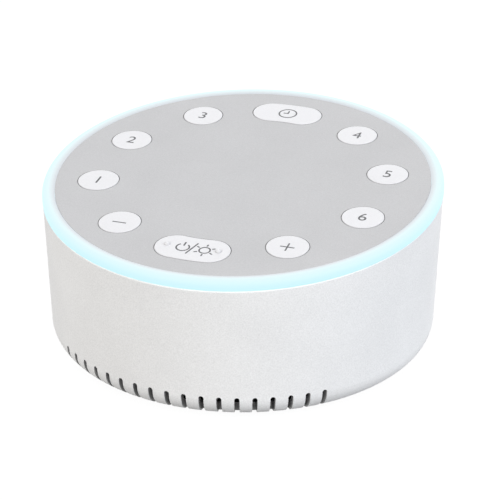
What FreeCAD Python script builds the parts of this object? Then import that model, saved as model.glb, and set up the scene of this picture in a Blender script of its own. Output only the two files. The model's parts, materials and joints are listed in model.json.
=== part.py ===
import FreeCAD, Part
import math
import os

# White noise sound machine. Millimetres. The origin is on the surface it stands on, under the
# centre of the round body. +Z is up, the sound slots face -Y and the power inlet faces +Y.
# The top is slanted: "panel frame" below means radius and height w measured square to the top,
# from its centre, with w = 0 on the panel's face and the keys pressed towards -w.

# Round body
ring_radius = 60.0
body_step = 0.2
body_taper = 1.35
corner_radius = 6.6
wall = 2.2
floor_thickness = 2.6
body_height = 49.58
panel_slant = 5.52
rim_round = 0.4

# Sound slots round the front of the lower corner
slot_count = 18
slot_pitch = 5.0
slot_width = 1.5
slot_top = 7.4
slot_depth = 5.75
cloth_thickness = 0.4
cloth_gap = 0.3
cloth_margin = 2.0

# Light ring, and the flange that the panel sits on
ring_width = 3.72
ring_depth = 2.63
ring_crown = 0.3
ring_round = 1.5
ring_flange = 3.0
ring_flange_thickness = 1.6
ring_fit = 0.3

# Top panel
panel_thickness = 2.0
panel_gap = 0.1
panel_round = 0.2

# Keys: ten places evenly round the panel
key_inset = 13.01
key_radius = 6.2
key_gap = 0.15
key_proud = 0.15
key_round = 0.3
key_travel = 0.5
key_flange = 1.0
key_flange_thickness = 1.2
key_flange_play = 0.1
long_key_radius = 6.1
long_key_half_width = 11.15
long_key_dent = 0.3
long_key_bulge = 0.2
stem_radius = 1.6
dot_radius = 0.95
dot_height = 0.6
dot_place = 7.66
dot_inset = 0.25

# Switches, lamps and control board
board_thickness = 1.6
switch_width = 6.0
switch_height = 3.4
switch_hole_play = 0.1
plunger_radius = 1.75
plunger_play = 0.4
plunger_depth = 1.4
stem_length = 0.25
switch_floor = 0.6
board_play = 0.9
led_count = 24
led_size = 2.0
led_height = 0.8
led_inset = 2.0

# Screws
screw_radius = 1.25
screw_head_radius = 2.4
screw_head_height = 1.6
screw_play = 0.25
drive_radius = 0.9
drive_depth = 0.9
screw_grip = 3.4
boss_radius = 2.6
boss_clearance = 1.0
hole_floor = 1.0
head_sink = 0.1

# Base cover, its ledge and the feet
foot_height = 1.2
foot_radius = 5.0
foot_sunk = 0.5
foot_edge = 0.4
cover_radius = 45.0
cover_gap = 0.15
ledge_width = 6.5
screw_inset = 3.5
ledge_thickness = 1.8
foot_clearance = 1.2

# Baffle plate that carries the speaker and the main board
baffle_lift = 7.6
baffle_thickness = 2.0
baffle_play = 0.4

# Speaker, its heights measured from its flange upwards
rim_width = 7.0
speaker_headroom = 2.3
gasket_thickness = 0.8
flange_radius = 27.5
flange_thickness = 1.2
basket_thickness = 1.2
basket_neck = 15.0
basket_window = 9.0
coil_inner = 7.0
coil_wall = 0.5
magnet_gap = 0.4
top_plate_thickness = 3.0
magnet_radius = 18.0
magnet_hole = 10.0
magnet_thickness = 6.0
back_plate_radius = 16.0
back_plate_thickness = 2.0
cone_thickness = 0.6
surround_width = 3.7
lip_width = 1.2
surround_thickness = 0.4
surround_roll = 1.4
coil_overhang = 4.6
cap_depth = 2.2
cap_thickness = 0.5
spider_thickness = 0.4
spider_seat = 3.5
speaker_screw_radius = 1.1
speaker_screw_head = 1.9
speaker_screw_inset = 2.3

# Main board on the baffle, at the rear
main_board_half_width = 20.0
main_board_corner_gap = 4.5
main_tab_half_width = 8.0
main_board_clearance = 2.5
standoff_height = 4.0
standoff_inset = 3.0
inlet_width = 9.0
inlet_depth = 14.0
inlet_height = 11.0
inlet_axis_height = 6.5
inlet_bore = 3.1
inlet_bore_depth = 10.0
inlet_pin_radius = 1.0
inlet_pin_length = 9.0
inlet_wall_gap = 0.4
inlet_opening = 4.2
chip_size = 8.0
chip_height = 1.2
chip_gap = 1.1
chip_inset = 0.5
capacitor_radius = 3.15
capacitor_height = 7.0
capacitor_pitch = 8.0
header_depth = 5.0
header_height = 5.0
ribbon_width = 10.0
ribbon_thickness = 0.6
ribbon_place = -12.0
ribbon_gap = 0.3
wire_radius = 0.6
wire_pitch = 2.5
wire_place = 7.5
terminal_thickness = 1.2
terminal_height = 4.0
terminal_margin = 1.6

# Worked out from the values above
reach = 3.0 * ring_radius
slant = math.radians(panel_slant)
floor_z = foot_height
inside_z = floor_z + floor_thickness
panel_z = floor_z + body_height
body_radius = ring_radius - body_step
low_radius = body_radius - body_taper
panel_radius = ring_radius - ring_width
key_circle = panel_radius - key_inset
end_offset = long_key_half_width - long_key_radius
skirt_radius = body_radius - wall - ring_fit - body_step
board_radius = skirt_radius - board_play
flange_top_w = -(panel_thickness + key_flange_play)
stem_w = flange_top_w - key_flange_thickness
plunger_rise = key_travel + plunger_play
switch_top_w = stem_w - plunger_rise - stem_length
plunger_top_w = switch_top_w + plunger_rise
board_w = switch_top_w - switch_height
post_radius = boss_radius
post_circle = flange_radius + screw_play + post_radius + screw_play
boss_circle = key_circle - key_radius - key_flange - boss_clearance - boss_radius
screw_circle = cover_radius - screw_inset
ledge_inner = cover_radius - ledge_width
foot_circle = screw_circle - screw_head_radius - foot_clearance - foot_radius
baffle_z = inside_z + baffle_lift
baffle_top = baffle_z + baffle_thickness
flange_z = baffle_top + gasket_thickness
cone_opening = flange_radius - rim_width
cone_radius = cone_opening - surround_width
board_under_z = panel_z + (board_w - board_thickness) / math.cos(slant) - back_plate_radius * math.tan(slant)
motor_height = top_plate_thickness + magnet_thickness + back_plate_thickness
basket_depth = board_under_z - speaker_headroom - motor_height - flange_z
coil_front = basket_depth - coil_overhang
coil_outer = coil_inner + coil_wall
board_front = flange_radius + main_board_clearance
main_board_z = baffle_top + standoff_height
main_board_top = main_board_z + board_thickness
screw_seat_z = floor_z + head_sink + screw_head_height
slot_inner = low_radius - slot_depth
cloth_radius = slot_inner - cloth_gap
key_names = ["power_light_key", "volume_up_key", "sound_key_6", "sound_key_5", "sound_key_4",
             "timer_key", "sound_key_3", "sound_key_2", "sound_key_1", "volume_down_key"]
long_keys = ["power_light_key", "timer_key"]
front_angle = -90.0
corner_angles = [45.0, 135.0, 225.0, 315.0]
key_step = 360.0 / len(key_names)
post_angles = [key_step, 180.0 - key_step, 180.0 + key_step, 360.0 - key_step]
side_angles = [0.0, 90.0, 180.0, 270.0]


def body_radius_at(z):
    """Outer radius of the tapered wall at a height."""
    low_z = floor_z + corner_radius
    share = (z - low_z) / (panel_z - ring_depth - low_z)
    return low_radius + body_taper * share


def outline(points):
    """Closed wire in a plane through (x, y) or (x, y, radius) corners, rounded where a radius is given."""
    count = len(points)
    edges = []
    ends = []
    for i, point in enumerate(points):
        corner = FreeCAD.Vector(point[0], point[1], 0)
        radius = point[2] if len(point) > 2 else 0.0
        if radius <= 0:
            ends.append((corner, corner, None))
            continue
        before = FreeCAD.Vector(points[i - 1][0], points[i - 1][1], 0) - corner
        after = FreeCAD.Vector(points[(i + 1) % count][0], points[(i + 1) % count][1], 0) - corner
        before.normalize()
        after.normalize()
        half = before.getAngle(after) / 2
        cut = radius / math.tan(half)
        middle = before + after
        middle.normalize()
        tip = corner + middle * (radius / math.sin(half) - radius)
        ends.append((corner + before * cut, corner + after * cut, tip))
    for i, (start, end, tip) in enumerate(ends):
        if tip is not None:
            edges.append(Part.Arc(start, tip, end).toShape())
        following = ends[(i + 1) % count][0]
        if (following - end).Length > 1e-6:
            edges.append(Part.makeLine(end, following))
    return Part.Wire(edges)


def spin(points):
    """Solid turned round Z from a closed (radius, height) section."""
    face = Part.Face(outline(points))
    face.rotate(FreeCAD.Vector(0, 0, 0), FreeCAD.Vector(1, 0, 0), 90)
    return face.revolve(FreeCAD.Vector(0, 0, 0), FreeCAD.Vector(0, 0, 1), 360)


def slab(points, low, high):
    """Flat plate of the given outline between two heights."""
    face = Part.Face(outline(points))
    face.translate(FreeCAD.Vector(0, 0, low))
    return face.extrude(FreeCAD.Vector(0, 0, high - low))


def disc(radius, low, high, x=0.0, y=0.0):
    return Part.makeCylinder(radius, high - low, FreeCAD.Vector(x, y, low))


def tube(outer, inner, low, high, x=0.0, y=0.0):
    return disc(outer, low, high, x, y).cut(disc(inner, low - 1, high + 1, x, y))


def block(x0, x1, y0, y1, low, high):
    return Part.makeBox(x1 - x0, y1 - y0, high - low, FreeCAD.Vector(x0, y0, low))


def turned(shape, angle):
    """Copy of a shape turned about Z."""
    copy = shape.copy()
    copy.rotate(FreeCAD.Vector(0, 0, 0), FreeCAD.Vector(0, 0, 1), angle)
    return copy


def on_panel(shape):
    """Copy of a shape moved from the panel frame to its place on the slanted top."""
    copy = shape.copy()
    copy.rotate(FreeCAD.Vector(0, 0, 0), FreeCAD.Vector(1, 0, 0), panel_slant)
    copy.translate(FreeCAD.Vector(0, 0, panel_z))
    return copy


def panel_height_at(y, w):
    """Height above the table of the slanted plane w, over the body's own y."""
    return panel_z + w / math.cos(slant) + y * math.tan(slant)


def polar(radius, angle):
    return radius * math.cos(math.radians(angle)), radius * math.sin(math.radians(angle))


def key_outline(name, grow):
    """Wire of a key, centred on its switch with +Y away from the panel's centre, grown evenly."""
    if name not in long_keys:
        return Part.Wire(Part.makeCircle(key_radius + grow))
    radius = long_key_radius + grow
    near = (end_offset ** 2 + long_key_dent ** 2) / (2 * long_key_dent)
    far = (end_offset ** 2 + long_key_bulge ** 2) / (2 * long_key_bulge)
    inner_x = end_offset * (1 - radius / near)
    inner_y = -radius * (near - long_key_dent) / near
    outer_x = end_offset * (1 + radius / far)
    outer_y = radius * (far - long_key_bulge) / far
    tip = end_offset + radius
    dent = FreeCAD.Vector(0, long_key_dent - radius, 0)
    bulge = FreeCAD.Vector(0, long_key_bulge + radius, 0)
    low_left = FreeCAD.Vector(-inner_x, inner_y, 0)
    low_right = FreeCAD.Vector(inner_x, inner_y, 0)
    high_left = FreeCAD.Vector(-outer_x, outer_y, 0)
    high_right = FreeCAD.Vector(outer_x, outer_y, 0)
    edges = [Part.Arc(low_left, dent, low_right).toShape(),
             Part.Arc(low_right, FreeCAD.Vector(tip, 0, 0), high_right).toShape(),
             Part.Arc(high_right, bulge, high_left).toShape(),
             Part.Arc(high_left, FreeCAD.Vector(-tip, 0, 0), low_left).toShape()]
    return Part.Wire(edges)


def key_block(name, grow, low, high):
    face = Part.Face(key_outline(name, grow))
    face.translate(FreeCAD.Vector(0, 0, low))
    return face.extrude(FreeCAD.Vector(0, 0, high - low))


def at_key(shape, name):
    """Copy of a shape in a key's own frame, moved to that key's place in the panel frame."""
    angle = front_angle + key_names.index(name) * key_step
    copy = shape.copy()
    copy.translate(FreeCAD.Vector(0, key_circle, 0))
    return turned(copy, angle - 90)


def screw(radius, head, length):
    """Pan screw with its head's seat at height 0, the head above it and the shank below."""
    shank = disc(radius, -length, 0)
    cap = disc(head, 0, screw_head_height)
    rounded = cap.makeFillet(screw_head_height / 3, [cap.Edges[0]])
    drive = disc(drive_radius, screw_head_height - drive_depth, screw_head_height + 1)
    return shank.fuse(rounded).removeSplitter().cut(drive)


def upside_down(shape):
    copy = shape.copy()
    copy.rotate(FreeCAD.Vector(0, 0, 0), FreeCAD.Vector(1, 0, 0), 180)
    return copy


def copies(shape, radius, angles, z=0.0):
    """Separate copies of a shape round a circle."""
    placed = []
    for angle in angles:
        x, y = polar(radius, angle)
        copy = turned(shape, angle)
        copy.translate(FreeCAD.Vector(x, y, z))
        placed.append(copy)
    return placed


def bent_path(points):
    """Wire of straight runs joined by tangent arcs, each as large as its two runs allow."""
    spots = [FreeCAD.Vector(*point) for point in points]
    edges = []
    start = spots[0]
    for before, corner, after in zip(spots, spots[1:], spots[2:]):
        back = before - corner
        ahead = after - corner
        run = 0.45 * min(back.Length, ahead.Length)
        back.normalize()
        ahead.normalize()
        half = back.getAngle(ahead) / 2
        radius = run * math.tan(half)
        middle = back + ahead
        middle.normalize()
        tip = corner + middle * (radius / math.sin(half) - radius)
        edges.append(Part.makeLine(start, corner + back * run))
        edges.append(Part.Arc(corner + back * run, tip, corner + ahead * run).toShape())
        start = corner + ahead * run
    edges.append(Part.makeLine(start, spots[-1]))
    return Part.Wire(edges)


def housing_shell():
    """Round body: tapered wall, rounded lower corner, slots, ledge with bosses, inlet opening."""
    top_z = panel_z + ring_radius * math.tan(slant) + ring_crown
    top_radius = body_radius_at(top_z)
    outer = spin([(0, floor_z), (low_radius, floor_z, corner_radius), (top_radius, top_z), (0, top_z)])
    inner = spin([(0, inside_z), (low_radius - wall, inside_z, corner_radius - floor_thickness),
                  (top_radius - wall, top_z), (0, top_z)])
    above = on_panel(disc(reach, -ring_depth, reach))
    shell = outer.cut(above).cut(inner)
    rim = [edge for edge in shell.Edges if on_outer_rim(edge)]
    shell = shell.makeFillet(rim_round, rim)
    shell = shell.cut(disc(cover_radius + cover_gap, floor_z - 1, inside_z + 1))
    for i in range(slot_count):
        angle = front_angle + (i - (slot_count - 1) / 2) * slot_pitch
        shell = shell.cut(turned(slot_cutter(), angle))
    ledge_outer = cloth_radius - cloth_thickness - cloth_gap
    ledge = tube(ledge_outer, ledge_inner, inside_z, inside_z + ledge_thickness)
    bosses = copies(disc(boss_radius, inside_z, baffle_z), screw_circle, corner_angles)
    shell = shell.fuse([ledge] + bosses).removeSplitter()
    low_hole = disc(screw_radius, inside_z - 1, inside_z + screw_grip)
    high_hole = disc(screw_radius, baffle_z - baffle_lift + screw_grip + hole_floor, baffle_z + 1)
    for hole in copies(low_hole, screw_circle, corner_angles) + copies(high_hole, screw_circle, corner_angles):
        shell = shell.cut(hole)
    return shell.cut(inlet_way())


def grille_cloth():
    """Strip of black cloth that stands behind the slots, from the floor to the baffle."""
    band = tube(cloth_radius, cloth_radius - cloth_thickness, inside_z, baffle_z)
    half = math.radians(slot_count * slot_pitch / 2 + cloth_margin)
    far = reach * math.tan(half)
    wedge = slab([(0, 0), (reach, -far), (reach, far)], inside_z - 1, baffle_z + 1)
    return band.common(turned(wedge, front_angle))


def on_outer_rim(edge):
    """True for the edge where the outer wall meets the slanted top."""
    spot = edge.valueAt(edge.FirstParameter)
    radius = math.hypot(spot.x, spot.y)
    level = panel_height_at(spot.y, -ring_depth)
    return abs(spot.z - level) < 0.01 and radius > body_radius - wall / 2 and edge.Length > body_radius


def slot_cutter():
    """One upright slot along +X: round top, open below, stopped short by the floor's edge."""
    half = slot_width / 2
    top = floor_z + slot_top
    tall = block(slot_inner, reach, -half, half, floor_z - 1, top - half)
    crown = Part.makeCylinder(half, reach - slot_inner, FreeCAD.Vector(slot_inner, 0, top - half),
                              FreeCAD.Vector(1, 0, 0))
    return tall.fuse(crown)


def inlet_way():
    """Round way in for the power plug, along +Y."""
    z = main_board_top + inlet_axis_height
    return Part.makeCylinder(inlet_opening, reach, FreeCAD.Vector(0, inlet_front(), z), FreeCAD.Vector(0, 1, 0))


def inlet_front():
    """Where the inlet's face stands, just inside the rear wall."""
    z = main_board_top
    inner = body_radius_at(z) - wall
    return math.sqrt(inner ** 2 - (inlet_width / 2) ** 2) - inlet_wall_gap


def base_cover():
    """Round plate in the underside, held by four screws, with a seat for each foot."""
    cover = disc(cover_radius, floor_z, inside_z)
    seat = disc(foot_radius, floor_z - 1, floor_z + foot_sunk)
    head = disc(screw_head_radius + screw_play, floor_z - 1, screw_seat_z)
    hole = disc(screw_radius + screw_play, floor_z - 1, inside_z + 1)
    for cutter in copies(seat, foot_circle, corner_angles):
        cover = cover.cut(cutter)
    for cutter in copies(head, screw_circle, corner_angles) + copies(hole, screw_circle, corner_angles):
        cover = cover.cut(cutter)
    return cover


def rubber_feet():
    foot = spin([(0, 0), (foot_radius, 0, foot_edge), (foot_radius, floor_z + foot_sunk),
                 (0, floor_z + foot_sunk)])
    return Part.makeCompound(copies(foot, foot_circle, corner_angles))


def base_screws():
    one = upside_down(screw(screw_radius, screw_head_radius, inside_z + screw_grip - screw_seat_z))
    return Part.makeCompound(copies(one, screw_circle, corner_angles, screw_seat_z))


def light_ring():
    """Translucent ring: crowned top, upright outer side, and a flange under the panel's edge."""
    inner = panel_radius - ring_flange
    bottom = -panel_thickness - ring_flange_thickness
    section = [(panel_radius, 0), (ring_radius - ring_round - ring_width / 4, ring_crown),
               (ring_radius, ring_crown, ring_round), (ring_radius, -ring_depth), (skirt_radius, -ring_depth),
               (skirt_radius, bottom), (inner, bottom), (inner, -panel_thickness),
               (panel_radius, -panel_thickness)]
    return on_panel(spin(section))


def top_panel():
    """Round panel with the key openings, four long posts to the baffle and four board bosses."""
    edge = panel_radius - panel_gap
    panel = spin([(0, -panel_thickness), (edge, -panel_thickness), (edge, 0, panel_round), (0, 0)])
    for name in key_names:
        opening = key_block(name, key_gap, -panel_thickness - 1, 1)
        panel = panel.cut(at_key(opening, name))
    boss = disc(boss_radius, board_w, -panel_thickness / 2)
    pilot = disc(screw_radius, board_w - 1, board_w + screw_grip)
    panel = panel.fuse(copies(boss, boss_circle, side_angles)).removeSplitter()
    for cutter in copies(pilot, boss_circle, side_angles):
        panel = panel.cut(cutter)
    panel = on_panel(panel)
    for angle in post_angles:
        x, y = polar(post_circle, angle)
        post = disc(post_radius, baffle_top, panel_height_at(y, -panel_thickness / 2), x, y)
        panel = panel.fuse(post)
        panel = panel.cut(disc(screw_radius, baffle_top - 1, baffle_top + 2 * screw_grip, x, y))
    return panel.removeSplitter()


def key_cap(name):
    """One key: face with a rounded edge, retaining flange under the panel, and stem to its switch."""
    cap = key_block(name, 0, flange_top_w - key_flange_thickness / 2, key_proud)
    rim = [edge for edge in cap.Edges if all(abs(v.Z - key_proud) < 1e-6 for v in edge.Vertexes)]
    cap = cap.makeFillet(key_round, rim)
    flange = key_block(name, key_flange, stem_w, flange_top_w)
    stem = disc(stem_radius, plunger_top_w, stem_w)
    key = cap.fuse([flange, stem]).removeSplitter()
    if name == "power_light_key":
        for side in (-1, 1):
            dot = Part.makeSphere(dot_ball(), FreeCAD.Vector(side * dot_place, -dot_inset, dot_centre_w()))
            key = key.fuse(dot.common(block(-reach, reach, -reach, reach, key_proud - dot_height, reach)))
        key = key.removeSplitter()
    return on_panel(at_key(key, name))


def dot_ball():
    """Radius of the ball whose top makes a raised dot."""
    return (dot_radius ** 2 + dot_height ** 2) / (2 * dot_height)


def dot_centre_w():
    return key_proud + dot_height - dot_ball()


def plunger(name):
    return on_panel(at_key(disc(plunger_radius, switch_top_w - plunger_depth, plunger_top_w), name))


def key_switches():
    """Ten square switch cases on the control board, each open for its plunger."""
    half = switch_width / 2
    case = block(-half, half, -half, half, board_w, switch_top_w)
    case = case.cut(disc(plunger_radius + switch_hole_play, board_w + switch_floor, switch_top_w + 1))
    return Part.makeCompound([on_panel(at_key(case, name)) for name in key_names])


def control_board():
    """Round board under the panel, with ways through for the four posts."""
    board = disc(board_radius, board_w - board_thickness, board_w)
    for cutter in copies(disc(screw_radius + screw_play, board_w - reach, board_w + 1), boss_circle, side_angles):
        board = board.cut(cutter)
    board = on_panel(board)
    for angle in post_angles:
        x, y = polar(post_circle, angle)
        board = board.cut(disc(post_radius + 2 * screw_play, baffle_top, panel_z + reach, x, y))
    return board


def board_screws():
    one = upside_down(screw(screw_radius, screw_head_radius, board_thickness + screw_grip))
    placed = copies(one, boss_circle, side_angles, board_w - board_thickness)
    return Part.makeCompound([on_panel(shape) for shape in placed])


def ring_leds():
    """Small lamps round the control board's edge, under the ring's flange."""
    half = led_size / 2
    lamp = block(-half, half, -half, half, board_w, board_w + led_height)
    angles = [(i + 0.5) * 360.0 / led_count for i in range(led_count)]
    return Part.makeCompound([on_panel(shape) for shape in copies(lamp, board_radius - led_inset, angles)])


def speaker_baffle():
    """Plate across the body: speaker opening, screw holes and standoffs for the main board."""
    radius = body_radius_at(baffle_z) - wall - baffle_play
    plate = disc(radius, baffle_z, baffle_top).cut(disc(cone_opening, baffle_z - 1, baffle_top + 1))
    posts = [disc(boss_radius, baffle_top - baffle_thickness / 2, main_board_z, x, y) for x, y in standoffs()]
    plate = plate.fuse(posts).removeSplitter()
    through = disc(screw_radius + screw_play, baffle_z - 1, baffle_top + 1)
    holes = copies(through, screw_circle, corner_angles) + copies(through, post_circle, post_angles)
    pilot = disc(speaker_screw_radius, baffle_z, baffle_top + 1)
    holes += copies(pilot, speaker_screw_circle(), side_angles)
    holes += [disc(screw_radius, baffle_top, main_board_z + 1, x, y) for x, y in standoffs()]
    for hole in holes:
        plate = plate.cut(hole)
    return plate


def speaker_screw_circle():
    return flange_radius - speaker_screw_inset


def standoffs():
    """Two standoffs, in the front corners of the main board."""
    x = main_board_half_width - standoff_inset
    y = board_front + standoff_inset
    return [(-x, y), (x, y)]


def baffle_screws():
    one = screw(screw_radius, screw_head_radius, baffle_thickness + screw_grip - hole_floor)
    return Part.makeCompound(copies(one, screw_circle, corner_angles, baffle_top))


def top_screws():
    one = upside_down(screw(screw_radius, screw_head_radius, baffle_thickness + screw_grip))
    return Part.makeCompound(copies(one, post_circle, post_angles, baffle_z))


def speaker_screws():
    seat = flange_z + flange_thickness
    one = screw(speaker_screw_radius, speaker_screw_head, seat - baffle_z)
    return Part.makeCompound(copies(one, speaker_screw_circle(), side_angles, seat))


def speaker_gasket():
    gasket = tube(flange_radius, cone_opening, baffle_top, flange_z)
    for cutter in copies(disc(speaker_screw_radius, baffle_top - 1, flange_z + 1), speaker_screw_circle(), side_angles):
        gasket = gasket.cut(cutter)
    return gasket


def speaker_frame():
    """Pressed basket: flat flange, sloping wall with four windows, and the seat for the magnet."""
    neck = basket_neck
    top = flange_z + basket_depth
    wide = cone_opening + lip_width
    under = top - basket_thickness
    section = [(roll_outer(), flange_z), (flange_radius, flange_z), (flange_radius, flange_z + flange_thickness),
               (wide + basket_thickness, flange_z + flange_thickness), (neck + basket_thickness, top),
               (frame_hole(), top), (frame_hole(), under), (neck, under),
               (wide, flange_z + flange_thickness + surround_thickness), (wide, flange_z + flange_thickness),
               (roll_outer(), flange_z + flange_thickness)]
    frame = spin(section)
    low = flange_z + basket_depth / 4
    window = block(neck / 2, reach, -basket_window, basket_window, low, under - basket_thickness)
    for angle in corner_angles:
        frame = frame.cut(turned(window, angle))
    for cutter in copies(disc(speaker_screw_radius, flange_z - 1, top), speaker_screw_circle(), side_angles):
        frame = frame.cut(cutter)
    return frame


def frame_hole():
    return coil_outer + 1.5 * magnet_gap + coil_wall


def roll_outer():
    """Radius where the surround's roll meets the frame."""
    return cone_opening - lip_width / 2


def speaker_top_plate():
    low = flange_z + basket_depth
    return tube(basket_neck + basket_thickness, coil_outer + magnet_gap, low, low + top_plate_thickness)


def speaker_magnet():
    low = flange_z + basket_depth + top_plate_thickness
    return tube(magnet_radius, magnet_hole, low, low + magnet_thickness)


def speaker_yoke():
    """Back plate and pole in one piece."""
    low = flange_z + basket_depth + top_plate_thickness + magnet_thickness
    pole = disc(coil_inner - magnet_gap, flange_z + basket_depth, low)
    return pole.fuse(disc(back_plate_radius, low, low + back_plate_thickness)).removeSplitter()


def voice_coil():
    return tube(coil_outer, coil_inner, flange_z + coil_front, flange_z + basket_depth + top_plate_thickness)


def speaker_cone():
    low = flange_z + flange_thickness + surround_thickness
    neck = flange_z + coil_front
    flat = cone_radius - lip_width
    return spin([(flat, low), (cone_radius, low), (cone_radius, low + cone_thickness),
                 (flat, low + cone_thickness), (coil_outer, neck + 2 * cone_thickness), (coil_outer, neck)])


def dust_cap():
    """Shallow dome over the coil's front end."""
    z = flange_z + coil_front
    ball = (coil_outer ** 2 + cap_depth ** 2) / (2 * cap_depth)
    centre = FreeCAD.Vector(0, 0, z - cap_depth + ball)
    dome = Part.makeSphere(ball, centre).cut(Part.makeSphere(ball - cap_thickness, centre))
    return dome.common(disc(coil_outer, z - cap_depth - 1, z))


def speaker_surround():
    """Soft half roll between the cone and the frame, with a flat lip each side."""
    low = flange_z + flange_thickness
    high = low + surround_thickness
    a = FreeCAD.Vector(cone_radius - lip_width, 0, low)
    b = FreeCAD.Vector(cone_radius, 0, low)
    c = FreeCAD.Vector(roll_outer(), 0, low)
    d = FreeCAD.Vector(cone_opening + lip_width, 0, low)
    middle = (cone_radius + roll_outer()) / 2
    lift = FreeCAD.Vector(0, 0, surround_thickness)
    edges = [Part.makeLine(a, b), Part.Arc(b, FreeCAD.Vector(middle, 0, low - surround_roll), c).toShape(),
             Part.makeLine(c, d), Part.makeLine(d, d + lift), Part.makeLine(d + lift, c + lift),
             Part.Arc(c + lift, FreeCAD.Vector(middle, 0, high - surround_roll), b + lift).toShape(),
             Part.makeLine(b + lift, a + lift), Part.makeLine(a + lift, a)]
    return Part.Face(Part.Wire(edges)).revolve(FreeCAD.Vector(0, 0, 0), FreeCAD.Vector(0, 0, 1), 360)


def speaker_spider():
    top = flange_z + basket_depth - basket_thickness
    return tube(frame_hole() + spider_seat, coil_outer, top - spider_thickness, top)


def speaker_terminals():
    """Small upright board on the speaker's flange for the two wires."""
    half = wire_pitch / 2 + terminal_margin
    low = flange_z + flange_thickness
    return block(wire_place - half, wire_place + half, terminal_y() - terminal_thickness, terminal_y(),
                 low, low + terminal_height)


def terminal_y():
    """Rear face of the terminal board, clear of the basket's sloping wall."""
    return cone_opening + lip_width + basket_thickness + terminal_thickness


def main_board():
    """Board at the rear, with a narrower tab that reaches the wall under the inlet."""
    shoulder = board_shoulder()
    half = main_board_half_width
    tab = main_tab_half_width
    rear = inlet_front()
    board = slab([(-half, board_front), (half, board_front), (half, shoulder), (tab, shoulder),
                  (tab, rear), (-tab, rear), (-tab, shoulder), (-half, shoulder)], main_board_z, main_board_top)
    for x, y in standoffs():
        board = board.cut(disc(screw_radius + screw_play, main_board_z - 1, main_board_top + 1, x, y))
    return board


def board_shoulder():
    """Where the board's wide part ends, with its corners clear of the round wall."""
    inner = body_radius_at(main_board_top) - wall - main_board_corner_gap
    return math.sqrt(inner ** 2 - main_board_half_width ** 2)


def main_board_screws():
    one = screw(screw_radius, screw_head_radius, board_thickness + screw_grip)
    placed = []
    for x, y in standoffs():
        copy = one.copy()
        copy.translate(FreeCAD.Vector(x, y, main_board_top))
        placed.append(copy)
    return Part.makeCompound(placed)


def power_inlet():
    """Plug socket on the main board, open to the rear."""
    half = inlet_width / 2
    y = inlet_front()
    z = main_board_top + inlet_axis_height
    body = block(-half, half, y - inlet_depth, y, main_board_top, main_board_top + inlet_height)
    bore = Part.makeCylinder(inlet_bore, inlet_bore_depth + 1, FreeCAD.Vector(0, y - inlet_bore_depth, z),
                             FreeCAD.Vector(0, 1, 0))
    return body.cut(bore)


def inlet_pin():
    y = inlet_front() - inlet_bore_depth
    z = main_board_top + inlet_axis_height
    pin = Part.makeCylinder(inlet_pin_radius, inlet_pin_length, FreeCAD.Vector(0, y, z), FreeCAD.Vector(0, 1, 0))
    tip = [edge for edge in pin.Edges if edge.Closed and edge.CenterOfMass.y > y + inlet_pin_length / 2]
    return pin.makeChamfer(inlet_pin_radius / 3, tip)


def main_chip():
    """Square chip beside the left screw's head."""
    x = screw_head_radius + chip_gap + standoff_inset - main_board_half_width
    y = board_front + chip_inset
    return block(x, x + chip_size, y, y + chip_size, main_board_top, main_board_top + chip_height)


def capacitors():
    """Two round cans on the side of the board away from the inlet."""
    x = main_board_half_width - capacitor_radius - 1.2 * screw_play
    y = board_front + 2 * standoff_inset + capacitor_radius
    can = disc(capacitor_radius, main_board_top, main_board_top + capacitor_height, x, y)
    return Part.makeCompound([can, disc(capacitor_radius, main_board_top, main_board_top + capacitor_height,
                                        x - capacitor_pitch, y)])


def ribbon_y():
    return board_front + chip_inset + chip_size + ribbon_gap + header_depth / 2


def header(x, y, width, low, high):
    return block(x - width / 2, x + width / 2, y - header_depth / 2, y + header_depth / 2, low, high)


def ribbon_top():
    """Middle of the lower face of the control board's header, in the body's y and z."""
    w = board_w - board_thickness - header_height
    y = ribbon_y()
    return y * math.cos(slant) - w * math.sin(slant), panel_z + y * math.sin(slant) + w * math.cos(slant)


def board_connectors():
    """Three headers: ribbon below, ribbon above, and the speaker's."""
    width = ribbon_width + 2 * ribbon_thickness
    low = main_board_top
    below = header(ribbon_place, ribbon_y(), width, low, low + header_height)
    under = board_w - board_thickness
    above = on_panel(header(ribbon_place, ribbon_y(), width, under - header_height, under))
    wires = header(wire_place, wire_end_y(), 2 * wire_pitch + wire_radius, low, low + header_height)
    return Part.makeCompound([below, above, wires])


def wire_end_y():
    return board_front + header_depth / 2


def ribbon_cable():
    """Flat cable from the main board up to the control board."""
    y1 = ribbon_y()
    z1 = main_board_top + header_height
    y2, z2 = ribbon_top()
    rise = (z2 - z1) / 3
    route = [(y1, z1), (y1, z1 + rise), (y2 + rise * math.sin(slant), z2 - rise * math.cos(slant)), (y2, z2)]
    half = ribbon_thickness / 2
    path = bent_path([(0, y, z) for y, z in route])
    section = Part.makePolygon([FreeCAD.Vector(x, y1 + y, z1) for x, y in
                                [(ribbon_place - ribbon_width / 2, -half), (ribbon_place + ribbon_width / 2, -half),
                                 (ribbon_place + ribbon_width / 2, half), (ribbon_place - ribbon_width / 2, half),
                                 (ribbon_place - ribbon_width / 2, -half)]])
    sweep = Part.BRepOffsetAPI.MakePipeShell(path)
    sweep.add(section)
    sweep.build()
    sweep.makeSolid()
    return sweep.shape()


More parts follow.
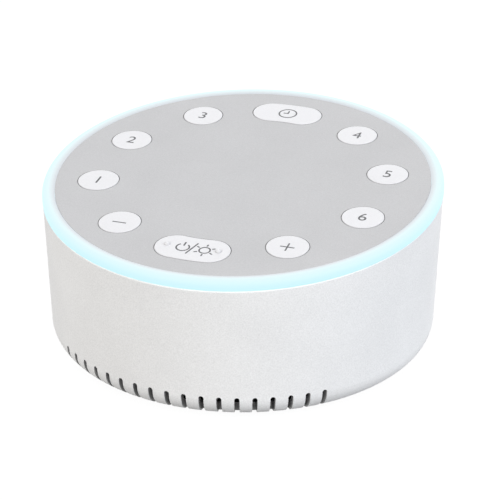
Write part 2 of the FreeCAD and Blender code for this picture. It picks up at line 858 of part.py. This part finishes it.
def speaker_wires():
    """Two thin leads from the speaker's terminals over to the main board."""
    z1 = flange_z + flange_thickness + terminal_height / 2
    z2 = main_board_top + header_height
    y1 = terminal_y()
    y2 = wire_end_y()
    rise = 3 * header_height / 4
    leads = []
    for side in (-1, 1):
        x = wire_place + side * wire_pitch / 2
        route = [(x, y1, z1), (x, y1 + (y2 - y1) / 3, z1), (x, y1 + 2 * (y2 - y1) / 3, z2 + rise / 2),
                 (x, y2, z2 + rise), (x, y2, z2)]
        circle = Part.Wire(Part.makeCircle(wire_radius, FreeCAD.Vector(x, y1, z1), FreeCAD.Vector(0, 1, 0)))
        sweep = Part.BRepOffsetAPI.MakePipeShell(bent_path(route))
        sweep.add(circle)
        sweep.build()
        sweep.makeSolid()
        leads.append(sweep.shape())
    return Part.makeCompound(leads)


def save(node, shape):
    """Write one node, after making sure that it is sound."""
    if not shape.isValid() or shape.Volume <= 0:
        print("not sound:", node)
    shape.exportStep("parts/" + node + ".step")


os.makedirs("parts", exist_ok=True)
for piece in [housing_shell, grille_cloth, base_cover, rubber_feet, base_screws, light_ring, top_panel, key_switches,
              control_board, board_screws, ring_leds, speaker_baffle, baffle_screws, top_screws,
              speaker_screws, speaker_gasket, speaker_frame, speaker_top_plate, speaker_magnet,
              speaker_yoke, voice_coil, speaker_cone, dust_cap, speaker_surround, speaker_spider,
              speaker_terminals, main_board, main_board_screws, power_inlet, inlet_pin, main_chip,
              capacitors, board_connectors, ribbon_cable, speaker_wires]:
    save(piece.__name__, piece())
for key in key_names:
    save(key, key_cap(key))
    save(key.replace("_key", "_plunger"), plunger(key))
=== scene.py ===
import json
import math

import bmesh
import bpy
from mathutils import Matrix, Vector


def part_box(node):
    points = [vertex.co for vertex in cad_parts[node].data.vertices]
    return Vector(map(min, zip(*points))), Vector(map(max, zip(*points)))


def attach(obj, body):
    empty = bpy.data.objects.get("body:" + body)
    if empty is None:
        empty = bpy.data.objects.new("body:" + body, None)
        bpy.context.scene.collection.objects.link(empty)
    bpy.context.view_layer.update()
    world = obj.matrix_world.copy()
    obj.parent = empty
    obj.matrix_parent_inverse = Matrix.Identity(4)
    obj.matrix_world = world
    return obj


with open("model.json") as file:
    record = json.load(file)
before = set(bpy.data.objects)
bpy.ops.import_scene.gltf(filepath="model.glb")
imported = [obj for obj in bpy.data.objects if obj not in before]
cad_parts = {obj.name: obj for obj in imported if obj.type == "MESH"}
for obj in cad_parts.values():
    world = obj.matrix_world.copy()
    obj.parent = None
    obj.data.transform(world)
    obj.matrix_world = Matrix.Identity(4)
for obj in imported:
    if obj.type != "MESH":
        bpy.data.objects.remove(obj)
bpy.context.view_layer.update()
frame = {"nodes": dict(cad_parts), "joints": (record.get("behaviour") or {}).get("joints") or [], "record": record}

MM = 0.001
WHITE = (1.0, 1.0, 1.0)

# Camera, set from the photograph: where it stands round the object in degrees, how far from the
# panel's centre, its focal length and the pixel where the panel's centre falls in the frame
IMAGE_SIZE = 500.0
SENSOR = 36.0
CAMERA_AZIMUTH = 19.207
CAMERA_ELEVATION = 23.52
CAMERA_ROLL = 0.069
CAMERA_DISTANCE = 570.76 * MM
CAMERA_NEAR = 10.0 * MM
FOCAL_PIXELS = 1907.0
PANEL_PIXEL = (242.85, 177.22)
PANEL_CENTRE = Vector((0.0, 0.0, 50.78 * MM))

# Keys: one with no raised dots gives the level of every key's face, and all of them with their
# openings lie within this reach of the panel's centre
SMOOTH_KEY = "timer_key"
KEYS_REACH = 52.0 * MM
SOUND_KEYS = 6

# Prints on the keys, in millimetres from each key's centre: X to the right, Y up the slope
LINE = 0.45
PRINT_DEPTH = 0.02
PRINT_RISE = 0.02
ARC_STEPS = 48
SAME_POINT = 0.000001
MITRE_LIMIT = 0.3
POWER_CENTRE = (-2.84, -0.13)
POWER_RADIUS = 1.88
POWER_GAP = 36.0
POWER_BAR = ((-2.84, 2.7), (-2.84, 0.7))
SLASH = ((0.75, 3.0), (-0.95, -3.2))
SUN_CENTRE = (3.71, -0.13)
SUN_RADIUS = 1.57
SUN_RAY = (2.15, 3.15)
SUN_RAYS = 6
CLOCK_CENTRE = (0.2, 0.0)
CLOCK_RADIUS = 2.75
CLOCK_HAND_UP = 1.75
CLOCK_HAND_SIDE = 1.4
SIGN_WIDTH = 4.2
SIGN_DROP = 0.3
DIGIT_HEIGHT = 4.2

# Height of a digit as a share of its letter size
LETTER_SHARE = 0.73

# Grain of every surface: the part of its noise that is used, how many times coarser the slow drift
# in tone is and how much weaker, how far the gloss varies and how deep the grain goes
GRAIN_BAND = (0.25, 0.75)
GRAIN_DETAIL = 2.0
GRAIN_ROUGHNESS = 0.6
DRIFT_BAND = (0.3, 0.7)
DRIFT_DETAIL = 3.0
DRIFT_COARSER = 60.0
DRIFT_WEAKER = 3
GLOSS_SPREAD = 0.06
GRAIN_DEPTH = 0.05 * MM

# Painted shade on rounded edges and gap walls: cosine of the lean from the panel where it is lowest and full
EDGE_SHADE_LEAN = (0.2, 0.995)

# Painted shade inside the sound slots: how far their walls count, and the open share where it is lowest and full
SLOT_REACH = 3.0 * MM
SLOT_SAMPLES = 12
SLOT_OPEN = (0.25, 0.85)

# Glow of the light ring, from its inner edge over its crown and down its outer side
RING_WIDTH = 3.72 * MM
RING_DEPTH = 2.63 * MM
RING_STOPS = [(0.03, (0.60, 0.63, 0.66)), (0.12, (0.67, 0.73, 0.75)), (0.24, (0.70, 0.84, 0.86)),
              (0.6, (0.62, 0.84, 0.88)), (1.0, (0.54, 0.84, 0.90))]
RING_BODY = (0.10, 0.11, 0.12)
RING_STRENGTH = 1.0
RING_ROUGHNESS = 0.6
RING_SPECULAR = 0.15
RING_CLOUD_SCALE = 900.0
RING_CLOUD_SHARE = 0.05
RING_BUMP = 0.05

# The room: the world's light on the object, and the floor with the white it adds where it is seen
WORLD_STRENGTH = 0.56
FLOOR_SIZE = 6.0
FLOOR_CELLS = 8
FLOOR_GAP = 0.02 * MM
FLOOR_GREY = 0.11
FLOOR_ROUGHNESS = 0.9
FLOOR_WHITE = 0.945

# Lamps: name, azimuth and elevation in degrees, size in metres, power in watts, colour
LAMP_DISTANCE = 1.6
LAMPS = [
    ("lamp_right", 78.0, 17.0, 1.2, 17.5, (0.905, 0.945, 1.0)),
    ("lamp_left", -25.0, 19.0, 1.2, 13.6, (1.0, 0.975, 0.93)),
    ("lamp_back", 190.0, 12.0, 1.2, 8.0, WHITE),
    ("lamp_top", 0.0, 80.0, 1.4, 1.0, WHITE),
]


def press_axis():
    """Direction in which every key is pressed."""
    joint = next(joint for joint in frame["joints"] if joint["child"] == SMOOTH_KEY + "_unit")
    return Vector(joint["axis"]).normalized()


# The panel's own directions: out of its face, to the right and up its slope
NORMAL = -press_axis()
SIDE = Vector((1.0, 0.0, 0.0))
UPHILL = NORMAL.cross(SIDE).normalized()


def shade(*screen):
    """Linear colour from the 0 to 255 values seen on screen."""
    linear = []
    for value in screen:
        v = value / 255.0
        linear.append(v / 12.92 if v <= 0.04045 else ((v + 0.055) / 1.055) ** 2.4)
    return tuple(linear)


def solid(colour):
    """The colour with full cover added."""
    return (*colour, 1.0)


def around(azimuth, elevation):
    """Unit vector from the object to a place round it, in degrees, with azimuth 0 at the front."""
    a = math.radians(azimuth)
    e = math.radians(elevation)
    return Vector((math.cos(e) * math.sin(a), -math.cos(e) * math.cos(a), math.sin(e)))


def link(name, data):
    """New object in the scene."""
    piece = bpy.data.objects.new(name, data)
    bpy.context.scene.collection.objects.link(piece)
    return piece


class Nodes:
    """Adds and joins the nodes of one tree."""

    def __init__(self, tree):
        self.tree = tree

    def add(self, kind, **settings):
        """New node, with inputs and options set by name."""
        node = self.tree.nodes.new(kind)
        for key, value in settings.items():
            if key in node.inputs:
                node.inputs[key].default_value = value
            else:
                setattr(node, key, value)
        return node

    def join(self, start, end):
        """Link from an output to an input."""
        self.tree.links.new(start, end)

    def feed(self, node, *values):
        """The node with its first inputs set, each to a value or to another node's output."""
        for socket, value in zip(node.inputs, values):
            if isinstance(value, bpy.types.NodeSocket):
                self.join(value, socket)
            else:
                socket.default_value = value
        return node

    def maths(self, operation, *values):
        """Output of a calculation on numbers."""
        return self.feed(self.add("ShaderNodeMath", operation=operation), *values).outputs["Value"]

    def vector_maths(self, operation, *values):
        """Outputs of a calculation on vectors."""
        return self.feed(self.add("ShaderNodeVectorMath", operation=operation), *values).outputs

    def ramp(self, value, start, end):
        """Output that goes from the first to the second number of end as value does in start."""
        node = self.feed(self.add("ShaderNodeMapRange"), value, *start, *end)
        return node.outputs["Result"]

    def object_place(self):
        """Output with the place on the piece."""
        return self.add("ShaderNodeTexCoord").outputs["Object"]

    def seen(self):
        """Output that is 1 for what the camera or a reflection sees, and 0 for light on the object."""
        path = self.add("ShaderNodeLightPath")
        return self.maths("MAXIMUM", path.outputs["Is Camera Ray"], path.outputs["Is Glossy Ray"])


def new_material(name):
    """New material with its shader and its nodes."""
    material = bpy.data.materials.new(name)
    material.use_nodes = True
    return material, material.node_tree.nodes["Principled BSDF"], Nodes(material.node_tree)


def roughen(n, shader, height, strength):
    """Fine relief on the shader's surface."""
    bump = n.add("ShaderNodeBump", Strength=strength, Distance=GRAIN_DEPTH)
    n.join(height, bump.inputs["Height"])
    n.join(bump.outputs["Normal"], shader.inputs["Normal"])


def grained(name, colour, rough, spread=0.03, scale=2200.0, bump=0.08, metallic=0.0, edge_shade=None, crevice_shade=None):
    """Moulded or painted surface: fine grain in colour, gloss and height, and a slow drift in tone.

    Given an edge shade, what leans away from the panel's slope is darkened as painted shade, as it is inside the
    thin gaps.
    Given a crevice shade, what its own narrow walls hide from the light is darkened as painted shade.
    """
    material, shader, n = new_material(name)
    place = n.object_place()
    grain = n.add("ShaderNodeTexNoise", Scale=scale, Detail=GRAIN_DETAIL, Roughness=GRAIN_ROUGHNESS)
    drift = n.add("ShaderNodeTexNoise", Scale=scale / DRIFT_COARSER, Detail=DRIFT_DETAIL)
    n.join(place, grain.inputs["Vector"])
    n.join(place, drift.inputs["Vector"])
    slow_spread = spread / DRIFT_WEAKER
    fine = n.ramp(grain.outputs["Fac"], GRAIN_BAND, (1.0 - spread, 1.0 + spread))
    slow = n.ramp(drift.outputs["Fac"], DRIFT_BAND, (1.0 - slow_spread, 1.0 + slow_spread))
    tone = n.maths("MULTIPLY", fine, slow)
    # Painted shade on rounded edges and on the walls of the gaps round the keys
    if edge_shade is not None:
        tone = n.maths("MULTIPLY", tone, edge_tone(n, edge_shade))
    # Painted shade inside the slots, where the piece's own walls hide the light
    if crevice_shade is not None:
        tone = n.maths("MULTIPLY", tone, slot_tone(n, crevice_shade))
    tint = n.feed(n.add("ShaderNodeVectorMath", operation="SCALE"), colour)
    n.join(tone, tint.inputs["Scale"])
    n.join(tint.outputs["Vector"], shader.inputs["Base Color"])
    gloss = n.ramp(grain.outputs["Fac"], (0.0, 1.0), (rough - GLOSS_SPREAD, rough + GLOSS_SPREAD))
    n.join(gloss, shader.inputs["Roughness"])
    shader.inputs["Metallic"].default_value = metallic
    roughen(n, shader, grain.outputs["Fac"], bump)
    return material


def edge_tone(n, lowest):
    """Painted shade on rounded edges and walls near the keys, which lean away from the panel's normal."""
    normal = n.add("ShaderNodeNewGeometry").outputs["Normal"]
    facing = n.vector_maths("DOT_PRODUCT", normal, NORMAL)["Value"]
    leaning = n.ramp(facing, EDGE_SHADE_LEAN, (lowest, 1.0))
    from_centre = n.vector_maths("DISTANCE", n.object_place(), PANEL_CENTRE)["Value"]
    outside = n.maths("GREATER_THAN", from_centre, KEYS_REACH)
    return n.maths("MAXIMUM", leaning, outside)


def slot_tone(n, lowest):
    """Painted shade inside narrow slots, where their walls hide the light."""
    walls = n.add("ShaderNodeAmbientOcclusion", Distance=SLOT_REACH, samples=SLOT_SAMPLES, only_local=True)
    return n.ramp(walls.outputs["AO"], SLOT_OPEN, (lowest, 1.0))


def ring_material(name):
    """Frosted ring lit from inside: whitest at its inner edge, bluer towards its outer side."""
    material, shader, n = new_material(name)
    place = n.object_place()
    ring_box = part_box("light_ring")
    outer = (ring_box[1][0] - ring_box[0][0]) / 2
    shifted = n.vector_maths("SUBTRACT", place, PANEL_CENTRE)["Vector"]
    height = n.vector_maths("DOT_PRODUCT", shifted, NORMAL)["Value"]
    length = n.vector_maths("LENGTH", shifted)["Value"]
    across = n.ramp(n.maths("SUBTRACT", length, height), (outer - RING_WIDTH, outer + RING_DEPTH), (0.0, 1.0))
    cloud = n.add("ShaderNodeTexNoise", Scale=RING_CLOUD_SCALE, Detail=GRAIN_DETAIL)
    n.join(place, cloud.inputs["Vector"])
    colours = n.feed(n.add("ShaderNodeValToRGB"),
                     n.maths("MULTIPLY_ADD", cloud.outputs["Fac"], RING_CLOUD_SHARE, across))
    stops = colours.color_ramp.elements
    for i, (position, colour) in enumerate(RING_STOPS):
        stop = stops[i] if i < 2 else stops.new(position)
        stop.position = position
        stop.color = solid(colour)
    n.join(colours.outputs["Color"], shader.inputs["Emission Color"])
    shader.inputs["Emission Strength"].default_value = RING_STRENGTH
    shader.inputs["Base Color"].default_value = solid(RING_BODY)
    shader.inputs["Roughness"].default_value = RING_ROUGHNESS
    shader.inputs["Specular IOR Level"].default_value = RING_SPECULAR
    roughen(n, shader, cloud.outputs["Fac"], RING_BUMP)
    return material


def make_materials():
    """One material for each of the record's slots, and one for the prints."""
    looks = {
        # white_shell darkens inside its sound slots as painted shade
        "white_shell": dict(colour=(0.90, 0.90, 0.905), rough=0.5, spread=0.09, scale=2600.0, crevice_shade=0.2),
        # grey_panel and key_white darken their edges and gap walls as painted shade
        "grey_panel": dict(colour=shade(203, 203, 205), rough=0.62, spread=0.07, scale=2600.0, edge_shade=0.4),
        "key_white": dict(colour=(0.86, 0.86, 0.885), rough=0.5, edge_shade=0.3),
        "print_ink": dict(colour=shade(98, 99, 102), rough=0.6, spread=0.05),
        "foot_rubber": dict(colour=(0.02, 0.02, 0.02), rough=0.8, spread=0.2, scale=900.0, bump=0.3),
        "black_plastic": dict(colour=(0.015, 0.015, 0.015), rough=0.55, spread=0.1),
        "green_board": dict(colour=(0.01, 0.10, 0.04), rough=0.35, spread=0.15, scale=500.0),
        "switch_metal": dict(colour=(0.6, 0.6, 0.6), rough=0.3, metallic=1.0),
        "lamp_white": dict(colour=(0.9, 0.92, 0.8), rough=0.25),
        "screw_steel": dict(colour=(0.5, 0.5, 0.52), rough=0.35, scale=900.0, metallic=1.0),
        "basket_steel": dict(colour=(0.03, 0.03, 0.03), rough=0.4),
        "magnet_ferrite": dict(colour=(0.05, 0.05, 0.05), rough=0.6, spread=0.15),
        "pin_brass": dict(colour=(0.8, 0.6, 0.3), rough=0.25, metallic=1.0),
        "copper_coil": dict(colour=(0.7, 0.3, 0.12), rough=0.35, metallic=1.0),
        "cone_paper": dict(colour=(0.03, 0.03, 0.03), rough=0.85, spread=0.3, scale=1200.0, bump=0.4),
        "surround_rubber": dict(colour=(0.02, 0.02, 0.02), rough=0.6, spread=0.1),
        "spider_cloth": dict(colour=(0.5, 0.3, 0.08), rough=0.9, spread=0.3, scale=1500.0, bump=0.5),
        "gasket_foam": dict(colour=(0.04, 0.04, 0.04), rough=0.95, spread=0.3, scale=1500.0, bump=0.6),
        "terminal_board": dict(colour=(0.3, 0.17, 0.07), rough=0.6, spread=0.1),
        "capacitor_can": dict(colour=(0.55, 0.55, 0.57), rough=0.3, metallic=1.0),
        "ribbon_grey": dict(colour=(0.4, 0.4, 0.4), rough=0.5, spread=0.1),
        "black_cloth": dict(colour=(0.012, 0.012, 0.012), rough=0.95, spread=0.4, scale=1800.0, bump=0.5),
        "wire_black": dict(colour=(0.02, 0.02, 0.02), rough=0.5, spread=0.1),
    }
    materials = {name: grained(name, **look) for name, look in looks.items()}
    materials["ring_glow"] = ring_material("ring_glow")
    return materials


def dress_nodes(materials):
    """Give every CAD node the finish of its slot in the record."""
    for row in frame["record"]["subparts"]:
        node = frame["nodes"].get(row["node"])
        if node is None:
            continue
        finish = materials[row["material_slot"]]
        if not node.material_slots:
            node.data.materials.append(finish)
        for held in node.material_slots:
            held.material = finish


def key_place(node):
    """Matrix of a key's face: X to the right, Y up the slope, Z out of the face, in metres."""
    plunger = frame["nodes"][node.replace("_key", "_plunger")].data.vertices
    across = [Vector(vertex.co).dot(SIDE) for vertex in plunger]
    along = [Vector(vertex.co).dot(UPHILL) for vertex in plunger]
    x = (min(across) + max(across)) / 2
    y = (min(along) + max(along)) / 2
    top = max(Vector(vertex.co).dot(NORMAL) for vertex in frame["nodes"][SMOOTH_KEY].data.vertices)
    origin = SIDE * x + UPHILL * y + NORMAL * top
    turn = Matrix((SIDE, UPHILL, NORMAL)).transposed().to_4x4()
    return Matrix.Translation(origin) @ turn


def place_print(name, mesh, node, materials):
    """Lay a print on its key, sunk a little into the face, so that it moves with the key."""
    lift = Matrix.Translation((0.0, 0.0, -PRINT_DEPTH * MM)) @ Matrix.Scale(MM, 4)
    mesh.transform(key_place(node) @ lift)
    mesh.materials.clear()
    mesh.materials.append(materials["print_ink"])
    piece = link(name, mesh)
    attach(piece, node + "_unit")


def polar(centre, radius, angle):
    """Point round a centre, with the angle in degrees."""
    a = math.radians(angle)
    return (centre[0] + radius * math.cos(a), centre[1] + radius * math.sin(a))


def arc(centre, radius, start, end):
    """Points along an arc, with its angles in degrees."""
    return [polar(centre, radius, start + (end - start) * i / ARC_STEPS) for i in range(ARC_STEPS + 1)]


def stroke(bm, points):
    """Flat line of even width through (x, y) points in millimetres, closed if its ends meet."""
    spots = [Vector(point) for point in points]
    closed = (spots[0] - spots[-1]).length < SAME_POINT
    if closed:
        spots = spots[:-1]
    count = len(spots)
    pairs = []
    for i, spot in enumerate(spots):
        before = spots[i - 1] if closed or i > 0 else spots[0]
        after = spots[(i + 1) % count] if closed or i < count - 1 else spots[-1]
        ahead = (after - spot).normalized() if after != spot else (spot - before).normalized()
        back = (spot - before).normalized() if before != spot else ahead
        along = (ahead + back).normalized()
        across = Vector((-along.y, along.x)) * (LINE / 2 / max(along.dot(ahead), MITRE_LIMIT))
        pairs.append([bm.verts.new((p.x, p.y, 0.0)) for p in (spot + across, spot - across)])
    for i in range(count if closed else count - 1):
        a, b = pairs[i], pairs[(i + 1) % count]
        bm.faces.new((a[0], a[1], b[1], b[0]))


def draw_power(bm):
    """Ring with a gap at its top, and a bar through the gap."""
    stroke(bm, arc(POWER_CENTRE, POWER_RADIUS, 90 + POWER_GAP, 450 - POWER_GAP))
    stroke(bm, POWER_BAR)


def draw_slash(bm):
    """Slanted line between the two signs of one key."""
    stroke(bm, SLASH)


def draw_sun(bm):
    """Small ring with rays round it, the first one pointing up."""
    stroke(bm, arc(SUN_CENTRE, SUN_RADIUS, 0, 360))
    for i in range(SUN_RAYS):
        stroke(bm, [polar(SUN_CENTRE, radius, 90 + i * 360 / SUN_RAYS) for radius in SUN_RAY])


def draw_clock(bm):
    """Ring with two hands, one up and one to the left."""
    x, y = CLOCK_CENTRE
    stroke(bm, arc(CLOCK_CENTRE, CLOCK_RADIUS, 0, 360))
    stroke(bm, [(x, y + CLOCK_HAND_UP), (x, y), (x - CLOCK_HAND_SIDE, y)])


def draw_minus(bm):
    """Minus sign, a little below the key's middle."""
    stroke(bm, [(-SIGN_WIDTH / 2, -SIGN_DROP), (SIGN_WIDTH / 2, -SIGN_DROP)])


def draw_plus(bm):
    """Plus sign as one face, a little below the key's middle."""
    a, b = SIGN_WIDTH / 2, LINE / 2
    corners = [(b, b), (b, a), (-b, a), (-b, b), (-a, b), (-a, -b),
               (-b, -b), (-b, -a), (b, -a), (b, -b), (a, -b), (a, b)]
    bm.faces.new([bm.verts.new((x, y - SIGN_DROP, 0.0)) for x, y in corners])


MARKS = [
    ("power_symbol", "power_light_key", draw_power),
    ("power_light_slash", "power_light_key", draw_slash),
    ("sun_symbol", "power_light_key", draw_sun),
    ("clock_symbol", "timer_key", draw_clock),
    ("minus_sign", "volume_down_key", draw_minus),
    ("plus_sign", "volume_up_key", draw_plus),
]


def mark(name, node, draw, materials):
    """Sign on a key, drawn flat and given its ink's thickness."""
    bm = bmesh.new()
    draw(bm)
    bmesh.ops.recalc_face_normals(bm, faces=bm.faces)
    for face in bm.faces:
        if face.normal.z < 0:
            face.normal_flip()
    base = list(bm.faces)
    grown = bmesh.ops.extrude_face_region(bm, geom=base)
    for item in grown["geom"]:
        if isinstance(item, bmesh.types.BMVert):
            item.co.z += PRINT_RISE + PRINT_DEPTH
    bmesh.ops.reverse_faces(bm, faces=base)
    bmesh.ops.recalc_face_normals(bm, faces=bm.faces)
    mesh = bpy.data.meshes.new(name)
    bm.to_mesh(mesh)
    bm.free()
    place_print(name, mesh, node, materials)


def digit(number, materials):
    """Plain number in the middle of a sound key."""
    curve = bpy.data.curves.new("digit_curve", "FONT")
    curve.body = str(number)
    curve.size = DIGIT_HEIGHT / LETTER_SHARE
    curve.align_x = "CENTER"
    curve.align_y = "CENTER"
    curve.extrude = (PRINT_RISE + PRINT_DEPTH) / 2
    holder = link("digit_holder", curve)
    bpy.context.view_layer.update()
    mesh = bpy.data.meshes.new_from_object(holder.evaluated_get(bpy.context.evaluated_depsgraph_get()))
    bpy.data.objects.remove(holder)
    xs = [vertex.co.x for vertex in mesh.vertices]
    ys = [vertex.co.y for vertex in mesh.vertices]
    zs = [vertex.co.z for vertex in mesh.vertices]
    middle = Vector(((min(xs) + max(xs)) / 2, (min(ys) + max(ys)) / 2, min(zs)))
    mesh.transform(Matrix.Translation(-middle))
    place_print("digit_%d" % number, mesh, "sound_key_%d" % number, materials)


def prints(materials):
    """All signs and numbers on the keys."""
    for name, node, draw in MARKS:
        mark(name, node, draw, materials)
    for number in range(1, SOUND_KEYS + 1):
        digit(number, materials)


def camera():
    """Camera of the photograph, aimed so that the panel's centre falls on its pixel."""
    back = around(CAMERA_AZIMUTH, CAMERA_ELEVATION)
    right = around(CAMERA_AZIMUTH + 90.0, 0.0)
    turn = Matrix((right, back.cross(right), back)).transposed().to_4x4()
    yaw = math.atan2(PANEL_PIXEL[0] - IMAGE_SIZE / 2, FOCAL_PIXELS)
    pitch = math.atan2(PANEL_PIXEL[1] - IMAGE_SIZE / 2, FOCAL_PIXELS)
    aim = Matrix.Rotation(yaw, 4, "Y") @ Matrix.Rotation(pitch, 4, "X")
    aim = aim @ Matrix.Rotation(-math.radians(CAMERA_ROLL), 4, "Z")
    data = bpy.data.cameras.new("camera")
    data.sensor_width = SENSOR
    data.lens = FOCAL_PIXELS / IMAGE_SIZE * SENSOR
    data.clip_start = CAMERA_NEAR
    holder = link("camera", data)
    holder.matrix_world = Matrix.Translation(PANEL_CENTRE + back * CAMERA_DISTANCE) @ turn @ aim
    bpy.context.scene.camera = holder


def lamp(name, azimuth, elevation, size, power, colour):
    """Soft square lamp, placed round the object as the camera is, facing its middle."""
    data = bpy.data.lights.new(name, "AREA")
    data.size = size
    data.energy = power
    data.color = colour
    away = around(azimuth, elevation)
    holder = link(name, data)
    holder.location = away * LAMP_DISTANCE + PANEL_CENTRE / 2
    holder.rotation_euler = away.to_track_quat("Z", "Y").to_euler()


def floor_material():
    """Pale floor: white where the camera or a reflection sees it, with the shadow left on it."""
    material, shader, n = new_material("floor")
    shader.inputs["Base Color"].default_value = solid((FLOOR_GREY, FLOOR_GREY, FLOOR_GREY))
    shader.inputs["Roughness"].default_value = FLOOR_ROUGHNESS
    shader.inputs["Specular IOR Level"].default_value = 0.0
    glow = n.feed(n.add("ShaderNodeEmission"), solid(WHITE), n.maths("MULTIPLY", n.seen(), FLOOR_WHITE))
    total = n.feed(n.add("ShaderNodeAddShader"), shader.outputs["BSDF"], glow.outputs["Emission"])
    n.join(total.outputs["Shader"], n.tree.nodes["Material Output"].inputs["Surface"])
    return material


def make_world():
    """White surroundings that light the object less than they show."""
    world = bpy.data.worlds.new("room")
    bpy.context.scene.world = world
    world.use_nodes = True
    n = Nodes(world.node_tree)
    sky = n.tree.nodes["Background"]
    sky.inputs["Color"].default_value = solid(WHITE)
    n.join(n.ramp(n.seen(), (0.0, 1.0), (WORLD_STRENGTH, 1.0)), sky.inputs["Strength"])


def make_floor():
    """Pale floor just under the feet, which keeps the object's soft shadow."""
    bm = bmesh.new()
    bmesh.ops.create_grid(bm, x_segments=FLOOR_CELLS, y_segments=FLOOR_CELLS, size=FLOOR_SIZE / 2)
    mesh = bpy.data.meshes.new("floor")
    bm.to_mesh(mesh)
    bm.free()
    mesh.transform(Matrix.Translation((0.0, 0.0, -FLOOR_GAP)))
    floor = link("floor", mesh)
    floor.data.materials.append(floor_material())


camera()
finishes = make_materials()
dress_nodes(finishes)
prints(finishes)
make_world()
make_floor()
for settings in LAMPS:
    lamp(*settings)
bpy.context.scene.view_settings.view_transform = "Standard"
